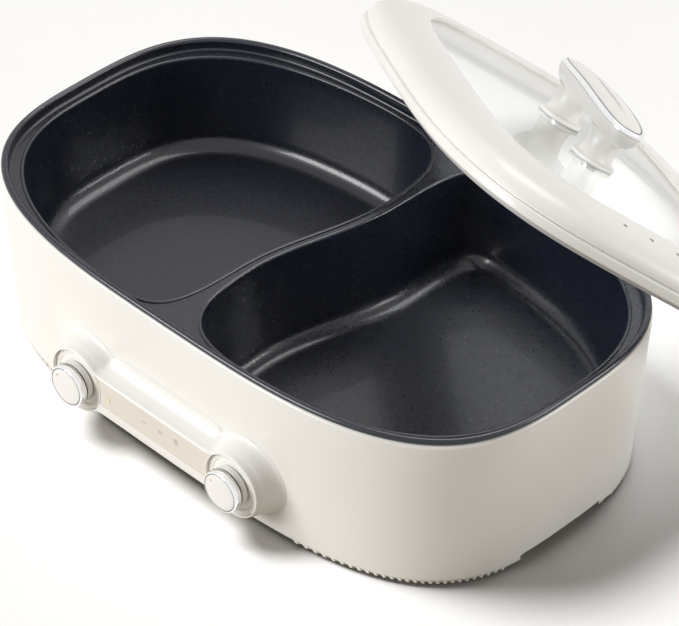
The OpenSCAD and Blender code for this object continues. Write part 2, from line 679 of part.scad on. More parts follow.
// Half the lid's height from its middle down to its lowest corner, so that it stands on the table
lean_p = corner_n / (corner_n - 1);
function drop_of(inset, below) = pow(pow((lid_a - inset) * sin(lean_pitch), lean_p)
    + pow((lid_b - inset) * sin(lean_tip) * cos(lean_pitch), lean_p), 1 / lean_p)
    + below * cos(lean_tip) * cos(lean_pitch);
lean_z = max(drop_of(0, 0), drop_of(seal_inset, seal_h)) + play;

module leaning() {
    translate([lean_x, lean_y, lean_z]) rotate([-lean_tip, -lean_pitch, -lean_turn]) children();
}

function lid_ring(inset, z) =
    outline(lid_a - inset, lid_b - inset, corner_n + (window_n - corner_n) * inset / frame_w, z, lid_n);

glass_top = lid_h - 2.6;
glass_gap = 3.6;                   // how far the frame's lip reaches over the glass
lip_inset = frame_w - glass_gap;

module lid_frame() color(cream) leaning() difference() {
    hoop([for (p = [[0.5, 0], [0, 1], [0, 5.4], [0.6, 6], [2.4, 6.2], [2.4, 7], [1.5, 7.6], [2.2, 11],
                    [5, lid_h - 9.6], [11, lid_h - 5.2], [22, lid_h - 1.8], [frame_w - 8.5, lid_h - 0.2],
                    [frame_w - 0.9, lid_h], [frame_w, lid_h - 0.8], [frame_w, glass_top + 0.1],
                    [lip_inset - 0.3, glass_top + 0.1], [lip_inset - 0.3, glass_top - glass_t],
                    [20, lid_h - 6.8], [8.6, lid_h - 11.8], [5, 8], [5, 2.4],
                    [seal_inset + seal_w, 2.4], [seal_inset + seal_w, 0]]) lid_ring(p[0], p[1])]);
    for (y = [-19.5, 0, 19.5]) translate([lid_a - 23, y, lid_h - 12]) cylinder(h = 20, r = 1.7);
}

module lid_glass() color("#dfe8ea", 0.4) leaning() difference() {
    plate(flat(lid_ring(lip_inset, 0)), [], glass_top - glass_t, glass_t);
    for (s = [-1, 1]) translate([s * pillar_x, 0, 0]) cylinder(h = 40, r = bolt_r + 0.6);
}

module lid_seal() color("#a7a8a6") leaning()
    plate(flat(lid_ring(seal_inset, 0)), [flat(lid_ring(seal_inset + seal_w, 0))], -seal_h, seal_h);

bolt_r = 2.5;
base_r = 15.6;
waist_r = 11;
gasket_h = 0.8;
base_z = glass_top + gasket_h;
grip_foot = handle_h - 8.6;        // where the pillars run into the grip
handle_n = 3;
trim_h = 3.2;

// The handle's outline, grown by g, following the arch of its top
function handle_ring(g, z, arch = 1) =
    [for (i = [0:47]) let (t = 7.5 * i, x = (handle_l + g) * side_pow(cos(t), 2 / handle_n))
        [x, (handle_w + g) * side_pow(sin(t), 2 / handle_n),
         z + arch * handle_arch * (1 - pow(x / handle_l, 2))]];

module handle_gaskets() color("#a7a8a6") leaning() both_sides(pillar_x) translate([0, 0, glass_top]) difference() {
    cylinder(h = gasket_h, r = base_r - 0.5);
    translate([0, 0, -1]) cylinder(h = 3, r = bolt_r + 0.6);
}

module handle_bridge() color(cream) leaning() difference() {
    union() {
        both_sides(pillar_x) rotate_extrude()
            polygon([[0, base_z], [base_r, base_z], [base_r, base_z + 1.6], [base_r - 0.8, base_z + 2.2],
                     [waist_r + 1.4, base_z + 3.4], [waist_r, base_z + 8], [waist_r, base_z + 12],
                     [waist_r + 0.8, grip_foot - 4], [waist_r + 2, grip_foot], [0, grip_foot + 2]]);
        arched_stack([handle_ring(-9, handle_h - 11, 0.4), handle_ring(-4.5, handle_h - 9, 0.6),
               handle_ring(-1.4, handle_h - 5), handle_ring(0, handle_h - 1.2), handle_ring(0, handle_h)]);
    }
    for (s = [-1, 1]) translate([s * pillar_x, 0, base_z - 1]) cylinder(h = 18, r = bolt_r + 0.05);
}

module handle_trim() color("#dfe1e4") leaning()
    hoop([handle_ring(-1, handle_h), handle_ring(0.3, handle_h + 0.5), handle_ring(0.3, handle_h + trim_h - 0.9),
          handle_ring(-0.8, handle_h + trim_h), handle_ring(-3, handle_h + trim_h), handle_ring(-3, handle_h)]);

module handle_pad() color(cream) leaning()
    arched_stack([handle_ring(-3.2, handle_h + 0.05), handle_ring(-3.2, handle_h + trim_h + 0.1),
           handle_ring(-5.5, handle_h + trim_h + 1), handle_ring(-9, handle_h + trim_h + 1.7),
           handle_ring(-13, handle_h + trim_h + 2.1)]);

module handle_bolts() color(steel) leaning() both_sides(pillar_x)
    translate([0, 0, glass_top - glass_t - 1]) screw(21, 5, 3, bolt_r);

module handle_washers() color(steel) leaning() both_sides(pillar_x)
    translate([0, 0, glass_top - glass_t - 1]) difference() {
        cylinder(h = 1, r = 8);
        translate([0, 0, -1]) cylinder(h = 3, r = bolt_r + 0.1);
    }

outer_shell();
bottom_cover();
foot_pads();
cover_screws();
inner_pot();
rim_gasket();
heater_plate_left();
heater_plate_right();
heating_element_left();
heating_element_right();
heater_clamp_left();
heater_clamp_right();
heater_studs();
heater_nuts();
thermostat_left();
thermostat_right();
heat_shield();
shield_screws();
control_housing();
control_plate();
housing_screws();
panel_insert();
indicator_lens();
dial_ring_left();
dial_ring_right();
rotary_switch_left();
rotary_switch_right();
switch_nuts();
power_inlet();
inlet_pins();
terminal_block();
knob_base_left();
knob_ring_left();
knob_cap_left();
switch_shaft_left();
knob_base_right();
knob_ring_right();
knob_cap_right();
switch_shaft_right();
lid_frame();
lid_glass();
lid_seal();
handle_gaskets();
handle_bridge();
handle_trim();
handle_pad();
handle_bolts();
handle_washers();
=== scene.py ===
# The looks of an electric hot pot with two wells, two dials and a loose domed glass lid.
# Sizes are in millimetres here and become metres as each ring of points is laid.
# A profile is a list of (inset from the outline, height), or of (radius, distance in front) on a dial's axis.
import math

import bmesh
import bpy
from mathutils import Euler, Matrix, Vector


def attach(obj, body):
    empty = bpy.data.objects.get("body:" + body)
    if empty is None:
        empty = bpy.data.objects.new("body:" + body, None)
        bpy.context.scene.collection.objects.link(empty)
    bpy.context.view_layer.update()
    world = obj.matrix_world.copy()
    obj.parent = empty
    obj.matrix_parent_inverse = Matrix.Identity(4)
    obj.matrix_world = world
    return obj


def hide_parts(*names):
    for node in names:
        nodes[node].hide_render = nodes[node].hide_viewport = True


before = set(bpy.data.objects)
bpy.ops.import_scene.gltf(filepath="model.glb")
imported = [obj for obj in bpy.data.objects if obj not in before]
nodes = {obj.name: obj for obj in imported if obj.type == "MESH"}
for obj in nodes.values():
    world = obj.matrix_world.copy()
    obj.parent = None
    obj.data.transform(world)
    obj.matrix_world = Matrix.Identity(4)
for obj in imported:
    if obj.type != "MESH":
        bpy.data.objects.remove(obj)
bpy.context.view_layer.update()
MM = 0.001

# ---- the pot's sizes, as in the part ----------------------------------------
BODY_L, BODY_W, RIM = 442, 271, 124
CORNER, TAPER, SKIRT = 3.15, 6.5, 5     # the outline's power, the wall's lean and the skirt's edge
SHELL_TOP = RIM - 3.3
LEDGE = RIM - 8
COLLAR_IN, COLLAR_FILLET, BEAD_R = 5.4, 1.6, 2.2
WELL_A, WELL_B = BODY_L / 2 - COLLAR_IN - 6.6, BODY_W / 2 - COLLAR_IN - 4.6
WELL_N, WELL_MID = 2.9, 100
WELL_FLOOR = LEDGE - 68
WELL_TAPER, WELL_FILLET, POT_T, POT_SKIN = 6, 13, 2.5, 1.2
DIVIDER_T, SWING, SWING_HALF = 8, 9.5, 58
RECESS_W, RECESS_TOP_W, RECESS_H = 46.9, 36, 9.8     # half widths and top of the end recesses
INLET_HALF, INLET_LOW, INLET_HIGH = 17.3, 19.7, 44.3
KNOB_X, KNOB_Z, PANEL_Y = 69.5, 42, 146
POD_R, NECK_H, NECK_FILLET, NECK_SPREAD = 25.5, 15.8, 14, 1.2
INSERT_EDGE, INSERT_HALF, INSERT_LOW, INSERT_DEEP = 4.1, 54, 6.8, 1.2
DIAL_R, DIAL_DEEP, DIAL_RIM = 21.5, 4.5, 22.2
TICKS, SWEEP, LONG_EVERY = 28, 270, 3
DOT_REACH, DOT_TURN = 9.4, math.radians(51)
SHELL_HOLE_R, SWITCH_HOLE_R, LENS_R = 14, 5.0, 1.8
KNOB_R, KNOB_LEN, KNOB_BACK, KNOB_BORE, CAP_R = 14.4, 10.8, -1.6, 3.02, 12.6
LID_A, LID_B, LID_H = BODY_L / 2 - 4, BODY_W / 2 - 3.5, 25.2
FRAME_W, WINDOW_N = 42.5, 4
GLASS_TOP, GLASS_T, GLASS_SEAT = LID_H - 2.6, 4, 3.9
SEAL_IN, SEAL_W, SEAL_H = 6.2, 4.3, 3
VENT_R, VENT_STEP, VENT_IN = 1.7, 19.5, 23
GLASS_HOLE_R, BOLT_HOLE_R = 3.1, 2.6
PILLAR_X, HANDLE_L, HANDLE_W, HANDLE_H, ARCH = 44, 75, 18, 53, 3
TRIM_H = 3.2
BASE_R, WAIST_R = 15.6, 11
LEAN_TIP, LEAN_PITCH, LEAN_TURN = math.radians(35), math.radians(18.4), math.radians(34.5)
LEAN = Euler((-LEAN_TIP, -LEAN_PITCH, -LEAN_TURN))
TABLE_GAP = 0.3
FACING = (math.pi / 2, 0, 0)     # turns an upright cylinder towards the front


def lean_height():
    """How high the lid's middle is, so that its low corner stands on the table."""
    p = CORNER / (CORNER - 1)

    def drop(inset, below):
        long_side = ((LID_A - inset) * math.sin(LEAN_PITCH)) ** p
        short_side = ((LID_B - inset) * math.sin(LEAN_TIP) * math.cos(LEAN_PITCH)) ** p
        return (long_side + short_side) ** (1 / p) + below * math.cos(LEAN_TIP) * math.cos(LEAN_PITCH)

    return max(drop(0, 0), drop(SEAL_IN, SEAL_H)) + TABLE_GAP


LEAN_AT = Vector((55.1, 159.9, lean_height())) * MM


# ---- outlines -----------------------------------------------------------------
def side_pow(v, p):
    return math.copysign(abs(v) ** p, v)


def oval(a, b, n, z, count):
    turns = [2 * math.pi * i / count for i in range(count)]
    return [(a * side_pow(math.cos(t), 2 / n), b * side_pow(math.sin(t), 2 / n), z) for t in turns]


def body_ring(inset, z):
    return oval(BODY_L / 2 - inset, BODY_W / 2 - inset, CORNER, z, 192)


def wall_ring(inset, z):
    """The body's outline at height z, narrower towards the skirt."""
    return body_ring(inset + TAPER * (RIM - max(z, SKIRT)) / (RIM - SKIRT), z)


def round_ring(x, y, r, z):
    turns = [2 * math.pi * i / 64 for i in range(64)]
    return [(x + r * math.cos(t), y + r * math.sin(t), z) for t in turns]


def divider_x(y):
    """The middle of the S-shaped divider at distance y from the pot's middle."""
    return SWING * math.sin(math.pi / 2 * max(-1, min(1, y / SWING_HALF)))


def well_reach(x, y):
    """Less than 1 inside the left well, 1 on its edge."""
    outer = ((abs(x) / WELL_A) ** WELL_N + (abs(y) / WELL_B) ** WELL_N) ** (1 / WELL_N)
    inner = max(0, (x + WELL_MID) / (divider_x(y) - DIVIDER_T / 2 + WELL_MID))
    tight = 6 - y / WELL_B
    return (outer ** tight + inner ** tight) ** (1 / tight)


def well_outline():
    """The left well's edge, found by halving along 180 rays from its middle."""
    points = []
    for i in range(180):
        t = 2 * math.pi * i / 180
        near, far = 20, 260
        for _ in range(40):
            mid = (near + far) / 2
            if well_reach(mid * math.cos(t) - WELL_MID, mid * math.sin(t)) < 1:
                near = mid
            else:
                far = mid
        points.append((near * math.cos(t) - WELL_MID, near * math.sin(t)))
    return points


LEFT_WELL = well_outline()


def well_ring(inset, z, side):
    """The well's outline drawn in along its own normals; side -1 turns it round for the right well."""
    count = len(LEFT_WELL)
    ring = []
    for i, (x, y) in enumerate(LEFT_WELL):
        (x0, y0), (x1, y1) = LEFT_WELL[i - 1], LEFT_WELL[(i + 1) % count]
        run = math.hypot(x1 - x0, y1 - y0)
        ring.append((side * (x - inset * (y1 - y0) / run), side * (y + inset * (x1 - x0) / run), z))
    return ring


def arc(x, z, r, start, end, steps):
    """Points along a circle, from one angle in degrees to another."""
    turns = [math.radians(start + (end - start) * i / steps) for i in range(steps + 1)]
    return [(x + r * math.cos(t), z + r * math.sin(t)) for t in turns]


THROAT = math.sqrt((POD_R + NECK_FILLET) ** 2 - (NECK_H + NECK_FILLET) ** 2)
THROAT_TURN = math.degrees(math.atan2(NECK_H + NECK_FILLET, THROAT))


def dogbone(grow, y, widen):
    """The dog-bone outline of the controls, upright at distance y in front, its neck wider by widen."""
    top, out = NECK_H + NECK_FILLET, KNOB_X - THROAT
    fillet = arc(out, top, NECK_FILLET - grow, -THROAT_TURN, -90, 14)
    count = len(fillet) - 1
    side = [(x, z + widen * (1 - math.cos(math.pi * i / count)) / 2) for i, (x, z) in enumerate(fillet)]
    side += [(x, NECK_H + grow + widen) for x in range(36, 0, -6)]
    side += [(0, NECK_H + grow + widen)] + [(-x, z) for x, z in reversed(side)]
    line = arc(KNOB_X, 0, POD_R + grow, THROAT_TURN - 180, 180 - THROAT_TURN, 56)[:-1] + side[:-1]
    line += arc(-KNOB_X, 0, POD_R + grow, THROAT_TURN, 360 - THROAT_TURN, 56)[:-1]
    line += [(-x, -z) for x, z in side[:-1]]
    return [(x, -y, KNOB_Z + z) for x, z in line]


def lid_ring(inset, z):
    """The lid's outline, squarer towards the window."""
    return oval(LID_A - inset, LID_B - inset, CORNER + (WINDOW_N - CORNER) * inset / FRAME_W, z, 168)


def handle_ring(grow, z, arch=1):
    """The handle's outline on its arch, of which arch is the share."""
    ring = []
    for i in range(96):
        t = 2 * math.pi * i / 96
        x = (HANDLE_L + grow) * side_pow(math.cos(t), 2 / 3)
        y = (HANDLE_W + grow) * side_pow(math.sin(t), 2 / 3)
        ring.append((x, y, z + arch * ARCH * (1 - (x / HANDLE_L) ** 2)))
    return ring


def flowing(points, steps):
    """A smooth line through the given points, with this many steps from each to the next."""
    line = []
    for i in range(len(points) - 1):
        a, b = points[max(i - 1, 0)], points[i]
        c, d = points[i + 1], points[min(i + 2, len(points) - 1)]
        for s in range(steps):
            t = s / steps
            line.append(tuple(
                0.5 * (2 * q + (r - p) * t + (2 * p - 5 * q + 4 * r - w) * t * t + (3 * q - p - 3 * r + w) * t ** 3)
                for p, q, r, w in zip(a, b, c, d)))
    return line + [tuple(points[-1])]


# ---- modelling ----------------------------------------------------------------
def clear():
    if bpy.context.object and bpy.context.object.mode == "EDIT":
        bpy.ops.object.mode_set(mode="OBJECT")
    bpy.ops.object.select_all(action="DESELECT")


def choose(piece):
    clear()
    piece.select_set(True)
    bpy.context.view_layer.objects.active = piece


def put(piece, points):
    """Moves the newest ring of vertices to the given points."""
    mesh = bmesh.from_edit_mesh(piece.data)
    mesh.verts.ensure_lookup_table()
    for vert, point in zip(mesh.verts[-len(points):], points):
        vert.co = Vector(point) * MM
    bmesh.update_edit_mesh(piece.data)


def select_open_edges(mesh, verts):
    """Adds these vertices to what is selected and keeps only the edges that have a single face."""
    for vert in verts:
        vert.select = True
    mesh.select_flush_mode()
    for edge in mesh.edges:
        edge.select = edge.select and len(edge.link_faces) == 1


def drawn(name, rings, ends="caps"):
    """A skin drawn from ring to ring: closed by caps, joined back to its first ring, or open."""
    clear()
    bpy.ops.mesh.primitive_circle_add(vertices=len(rings[0]), radius=0.05)
    piece = bpy.context.object
    piece.name = piece.data.name = name
    bpy.ops.object.mode_set(mode="EDIT")
    bpy.ops.mesh.select_all(action="SELECT")
    put(piece, rings[0])
    if ends == "caps":
        bpy.ops.mesh.edge_face_add()
        bpy.ops.mesh.select_mode(type="VERT")
    for ring in rings[1:]:
        bpy.ops.mesh.extrude_region_move()
        put(piece, ring)
    if ends == "hoop":
        mesh = bmesh.from_edit_mesh(piece.data)
        mesh.verts.ensure_lookup_table()
        select_open_edges(mesh, mesh.verts[:len(rings[0])])
        bmesh.update_edit_mesh(piece.data)
        bpy.ops.mesh.bridge_edge_loops()
    bpy.ops.mesh.select_all(action="SELECT")
    if ends != "open":
        bpy.ops.mesh.normals_make_consistent(inside=False)
    bpy.ops.object.mode_set(mode="OBJECT")
    return piece


def cylinder(name, r, depth, at, turn=(0, 0, 0), sides=64):
    clear()
    bpy.ops.mesh.primitive_cylinder_add(vertices=sides, radius=r * MM, depth=depth * MM,
                                        location=Vector(at) * MM, rotation=turn)
    piece = bpy.context.object
    piece.name = piece.data.name = name
    settle(piece)
    return piece


def block(name, low, high):
    """An upright box from its low corner to its high one."""
    clear()
    bpy.ops.mesh.primitive_cube_add(size=1, location=(Vector(low) + Vector(high)) / 2 * MM)
    piece = bpy.context.object
    piece.name = piece.data.name = name
    piece.scale = (Vector(high) - Vector(low)) * MM
    settle(piece)
    return piece


def settle(piece):
    """Puts the piece's place, turn and size into its mesh."""
    choose(piece)
    bpy.ops.object.transform_apply(location=True, rotation=True, scale=True)


def lean(piece):
    """Moves a piece made level to where the leaning lid is."""
    piece.rotation_euler = LEAN
    piece.location = LEAN_AT
    settle(piece)


def press(piece, kind, **settings):
    """Adds one modifier, sets it and applies it."""
    choose(piece)
    bpy.ops.object.modifier_add(type=kind)
    modifier = piece.modifiers[-1]
    for key, value in settings.items():
        setattr(modifier, key, value)
    bpy.ops.object.modifier_apply(modifier=modifier.name)


def carve(piece, *cutters):
    """Cuts the cutters out of the piece and removes them."""
    for cutter in cutters:
        press(piece, "BOOLEAN", operation="DIFFERENCE", solver="EXACT", object=cutter)
        bpy.data.objects.remove(cutter)


def weld(piece, other):
    press(piece, "BOOLEAN", operation="UNION", solver="EXACT", object=other)
    bpy.data.objects.remove(other)


def join(name, pieces):
    """Makes one piece of several, without merging what overlaps."""
    clear()
    for piece in pieces:
        piece.select_set(True)
    bpy.context.view_layer.objects.active = pieces[0]
    bpy.ops.object.join()
    pieces[0].name = pieces[0].data.name = name
    return pieces[0]


def dress(piece, body, slot, material, *stands_for, angle=32):
    """Shades a finished piece, gives it its finish and lets it ride on its body."""
    choose(piece)
    bpy.ops.object.shade_smooth_by_angle(angle=math.radians(angle))
    piece.data.materials.clear()
    piece.data.materials.append(material)
    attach(piece, body)
    if stands_for:
        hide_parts(*stands_for)
    return piece


def facing_front(line, x, y):
    """Rings for a round piece on a dial's axis: line holds (radius, distance in front of y)."""
    return [[(x + px, -y - out, KNOB_Z + pz) for px, pz, _ in round_ring(0, 0, r, 0)] for r, out in line]


# ---- finishes -------------------------------------------------------------------
def new_finish(name, colour, rough, metal=0.0, **sockets):
    """A material and its shader; further sockets are named with underscores for spaces."""
    finish = bpy.data.materials.new(name)
    finish.use_nodes = True
    shader = finish.node_tree.nodes["Principled BSDF"]
    shader.inputs["Base Color"].default_value = (*colour, 1)
    shader.inputs["Roughness"].default_value = rough
    shader.inputs["Metallic"].default_value = metal
    for key, value in sockets.items():
        shader.inputs[key.replace("_", " ")].default_value = value
    return finish, shader


def at_object(finish, scale=(1, 1, 1)):
    """The place on the piece, in metres, for textures that stay with it."""
    tree = finish.node_tree
    place = tree.nodes.new("ShaderNodeTexCoord")
    mapping = tree.nodes.new("ShaderNodeMapping")
    mapping.inputs["Scale"].default_value = scale
    tree.links.new(place.outputs["Object"], mapping.inputs["Vector"])
    return mapping.outputs["Vector"]


def noise(finish, where, scale, detail=3.0, rough=0.5):
    node = finish.node_tree.nodes.new("ShaderNodeTexNoise")
    node.inputs["Scale"].default_value = scale
    node.inputs["Detail"].default_value = detail
    node.inputs["Roughness"].default_value = rough
    finish.node_tree.links.new(where, node.inputs["Vector"])
    return node.outputs["Fac"]


def tones(finish, value, stops):
    """Colours along a value: stops are (place, colour)."""
    ramp = finish.node_tree.nodes.new("ShaderNodeValToRGB")
    while len(ramp.color_ramp.elements) < len(stops):
        ramp.color_ramp.elements.new(0.5)
    for element, (place, colour) in zip(ramp.color_ramp.elements, stops):
        element.position = place
        element.color = (*colour, 1)
    finish.node_tree.links.new(value, ramp.inputs["Fac"])
    return ramp.outputs["Color"]


def spread(finish, value, low, high, start=0.3, end=0.7):
    """Maps a value from start..end to low..high."""
    node = finish.node_tree.nodes.new("ShaderNodeMapRange")
    for key, number in (("From Min", start), ("From Max", end), ("To Min", low), ("To Max", high)):
        node.inputs[key].default_value = number
    finish.node_tree.links.new(value, node.inputs["Value"])
    return node.outputs["Result"]


def bumps(finish, shader, value, strength, height):
    node = finish.node_tree.nodes.new("ShaderNodeBump")
    node.inputs["Strength"].default_value = strength
    node.inputs["Distance"].default_value = height
    finish.node_tree.links.new(value, node.inputs["Height"])
    finish.node_tree.links.new(node.outputs["Normal"], shader.inputs["Normal"])


def wire(finish, source, shader, socket):
    finish.node_tree.links.new(source, shader.inputs[socket])


def shade_of(colour, k):
    return tuple(min(1, c * k) for c in colour)


def drifting(finish, value, colour, vary):
    """The colour, a little darker and lighter along a value."""
    return tones(finish, value, [(0.3, shade_of(colour, 1 - vary)), (0.7, shade_of(colour, 1 + vary))])


def moulding(name, colour, rough, vary=0.02, grain=900, depth=0.00002, coat=0.0):
    """Moulded plastic: a faint drift of tone, a fine grain and a roughness that isn't quite even."""
    finish, shader = new_finish(name, colour, rough, Coat_Weight=coat, Coat_Roughness=0.12)
    where = at_object(finish)
    wire(finish, drifting(finish, noise(finish, where, 9, 2), colour, vary), shader, "Base Color")
    fine = noise(finish, where, grain, 2)
    wire(finish, spread(finish, fine, rough * 0.9, rough * 1.12), shader, "Roughness")
    bumps(finish, shader, fine, 0.25, depth)
    return finish


def metal(name, colour, rough, stretch=(1, 1, 1), scale=300, vary=0.04, depth=0.00001):
    """Bare metal with fine marks that run along its stretch."""
    finish, shader = new_finish(name, colour, rough, 1.0)
    where = at_object(finish, stretch)
    marks = noise(finish, where, scale, 4, 0.6)
    wire(finish, drifting(finish, marks, colour, vary), shader, "Base Color")
    wire(finish, spread(finish, marks, rough * 0.75, rough * 1.3), shader, "Roughness")
    bumps(finish, shader, marks, 0.2, depth)
    return finish


def coating(name):
    """The pot's dark non-stick coating: satin, with a fine pale speckle and a slight orange peel."""
    base, pale = (0.007, 0.009, 0.017), (0.06, 0.07, 0.10)
    finish, shader = new_finish(name, base, 0.3, Specular_IOR_Level=0.4,
                                Coat_Weight=0.3, Coat_Roughness=0.06)
    tree = finish.node_tree
    where = at_object(finish)
    cells = tree.nodes.new("ShaderNodeTexVoronoi")
    cells.inputs["Scale"].default_value = 620
    tree.links.new(where, cells.inputs["Vector"])
    speck = spread(finish, cells.outputs["Distance"], 1.0, 0.0, 0.10, 0.24)
    patch = spread(finish, noise(finish, where, 260, 2), 0.0, 1.0, 0.45, 0.62)
    both = tree.nodes.new("ShaderNodeMath")
    both.operation = "MULTIPLY"
    tree.links.new(speck, both.inputs[0])
    tree.links.new(patch, both.inputs[1])
    wire(finish, tones(finish, both.outputs[0], [(0.0, base), (1.0, pale)]), shader, "Base Color")
    peel = noise(finish, where, 420, 3)
    wire(finish, spread(finish, peel, 0.25, 0.36), shader, "Roughness")
    bumps(finish, shader, peel, 0.35, 0.00004)
    return finish


def clear_glass(name):
    """Glass that casts next to no shadow, with a trace of smears."""
    finish, shader = new_finish(name, (0.97, 0.99, 0.985), 0.02, IOR=1.46, Transmission_Weight=1.0)
    tree = finish.node_tree
    smear = noise(finish, at_object(finish), 14, 3)
    wire(finish, spread(finish, smear, 0.012, 0.045), shader, "Roughness")
    light = tree.nodes.new("ShaderNodeLightPath")
    through = tree.nodes.new("ShaderNodeBsdfTransparent")
    mix = tree.nodes.new("ShaderNodeMixShader")
    tree.links.new(light.outputs["Is Shadow Ray"], mix.inputs["Fac"])
    tree.links.new(shader.outputs["BSDF"], mix.inputs[1])
    tree.links.new(through.outputs["BSDF"], mix.inputs[2])
    tree.links.new(mix.outputs["Shader"], tree.nodes["Material Output"].inputs["Surface"])
    return finish


shell_cream = moulding("shell_cream", (0.86, 0.845, 0.81), 0.34, coat=0.25)
cover_cream = moulding("cover_cream", (0.80, 0.775, 0.73), 0.55, grain=500, depth=0.00005)
lid_cream = moulding("lid_cream", (0.87, 0.855, 0.815), 0.36, coat=0.2)
panel_beige = moulding("panel_beige", (0.74, 0.69, 0.615), 0.30, vary=0.015, coat=0.3)
dial_cream = moulding("dial_cream", (0.84, 0.82, 0.78), 0.32)
knob_white = moulding("knob_white", (0.88, 0.865, 0.84), 0.22, vary=0.008, coat=0.4)
mark_grey = moulding("mark_grey", (0.33, 0.31, 0.28), 0.5, vary=0.05)
# A near-black for painted shade and painted dark reflections beside the knobs' chrome bands and along the handle trim
painted_shade_black = moulding("painted_shade_black", (0.012, 0.012, 0.013), 0.3, vary=0.1)
dot_gold = moulding("dot_gold", (0.55, 0.45, 0.18), 0.4, vary=0.05)
lens_amber = moulding("lens_amber", (0.86, 0.78, 0.42), 0.15, coat=0.5)
silicone = moulding("silicone", (0.50, 0.50, 0.49), 0.5, vary=0.03, grain=700)
foot_rubber = moulding("foot_rubber", (0.035, 0.035, 0.038), 0.75, vary=0.15, grain=400, depth=0.00008)
black_plastic = moulding("black_plastic", (0.02, 0.02, 0.022), 0.45, vary=0.08, grain=500, depth=0.00005)
ceramic_ivory = moulding("ceramic_ivory", (0.68, 0.63, 0.52), 0.3, vary=0.04, coat=0.4)
pot_coating = coating("pot_coating")
chrome = metal("chrome", (0.87, 0.875, 0.885), 0.06, vary=0.01, scale=120, depth=0.000002)
screw_steel = metal("screw_steel", (0.62, 0.63, 0.65), 0.28)
sheet_steel = metal("sheet_steel", (0.55, 0.56, 0.58), 0.38, stretch=(1, 12, 1), scale=60, vary=0.1)
cast_aluminium = metal("cast_aluminium", (0.48, 0.48, 0.49), 0.5, scale=500, vary=0.08, depth=0.00006)
element_steel = metal("element_steel", (0.20, 0.185, 0.18), 0.42, scale=200, vary=0.2)
brass = metal("brass", (0.78, 0.58, 0.24), 0.25, scale=250)
glass = clear_glass("glass")

# Nodes that are shown as the part has them, under the finish they wear
for finish, names in (
        (cover_cream, "bottom_cover"), (foot_rubber, "foot_pads"), (lens_amber, "indicator_lens"),
        (silicone, "rim_gasket handle_gaskets"), (brass, "inlet_pins"),
        (cast_aluminium, "heater_plate_left heater_plate_right"),
        (element_steel, "heating_element_left heating_element_right"),
        (sheet_steel, "heater_clamp_left heater_clamp_right heat_shield"),
        (ceramic_ivory, "thermostat_left thermostat_right terminal_block"),
        (black_plastic, "rotary_switch_left rotary_switch_right power_inlet"),
        (screw_steel, "cover_screws heater_studs heater_nuts shield_screws housing_screws switch_nuts "
                      "switch_shaft_left switch_shaft_right handle_bolts handle_washers")):
    for name in names.split():
        nodes[name].data.materials.clear()
        nodes[name].data.materials.append(finish)


# ---- shell ------------------------------------------------------------------------
shell = drawn("shell", [wall_ring(*p) for p in (
    (0.9, 5), (0.35, 5.25), (0.05, 5.9), (0, 7), (0, 30), (0, 60), (0, 90), (0, SHELL_TOP - 3.4),
    (0.12, SHELL_TOP - 2.5), (0.5, SHELL_TOP - 1.6), (1.1, SHELL_TOP - 1.0), (1.9, SHELL_TOP - 0.8),
    (3, SHELL_TOP - 0.8), (3, 60), (3, 5))], "hoop")
for side in (-1, 1):
    recess = drawn("recess", [[(x, y, z) for y, z in (
        (-RECESS_W, -9), (RECESS_W, -9), (RECESS_W, 4),
        (RECESS_TOP_W, RECESS_H), (-RECESS_TOP_W, RECESS_H), (-RECESS_W, 4))]
        for x in (side * 185, side * 245)])
    press(recess, "BEVEL", width=1.5 * MM, segments=3, limit_method="ANGLE",
          angle_limit=math.radians(20), harden_normals=False)
    hole = cylinder("hole", SHELL_HOLE_R, 40, (side * KNOB_X, -BODY_W / 2, KNOB_Z), FACING)
    carve(shell, recess, hole)
carve(shell, block("inlet_hole", (-INLET_HALF, 115, INLET_LOW), (INLET_HALF, 155, INLET_HIGH)))
dress(shell, "base", "shell_cream", shell_cream, "outer_shell")

# ---- inner pot --------------------------------------------------------------------
# The bead, the collar, the ledge and both wells are one skin, which then gets its wall.
bead = [(1.35, SHELL_TOP), (1.05, SHELL_TOP + 0.6)] + [
    (COLLAR_IN - BEAD_R + BEAD_R * math.cos(math.radians(t)), RIM - BEAD_R + BEAD_R * math.sin(math.radians(t)))
    for t in range(180, -1, -15)] + [(COLLAR_IN, LEDGE + 3)]
bead += arc(COLLAR_IN + COLLAR_FILLET, LEDGE + COLLAR_FILLET, COLLAR_FILLET, 180, 270, 5)
rim = drawn("pot", [body_ring(i, z) for i, z in bead], "open")
wall = [(-POT_T, LEDGE), (-POT_T + 0.1, LEDGE + 0.5), (-POT_T + 0.5, LEDGE + 0.82), (-1.5, LEDGE + 0.9),
        (-0.6, LEDGE + 0.8), (-0.1, LEDGE + 0.35), (0.15, LEDGE - 1), (0.9, LEDGE - 10), (2.6, LEDGE - 28)]
foot = [(WELL_TAPER + WELL_FILLET - WELL_FILLET * math.cos(math.radians(t)),
         WELL_FLOOR + WELL_FILLET - WELL_FILLET * math.sin(math.radians(t))) for t in range(0, 91, 10)]
sheets = [rim]
for side in (1, -1):
    well = drawn("well", [well_ring(i, z, side) for i, z in wall + foot], "open")
    bpy.ops.object.mode_set(mode="EDIT")
    mesh = bmesh.from_edit_mesh(well.data)
    mesh.verts.ensure_lookup_table()
    bpy.ops.mesh.select_all(action="DESELECT")
    select_open_edges(mesh, mesh.verts[-len(LEFT_WELL):])
    bmesh.update_edit_mesh(well.data)
    bpy.ops.mesh.edge_face_add()
    bpy.ops.object.mode_set(mode="OBJECT")
    sheets.append(well)
pot = join("pot", sheets)
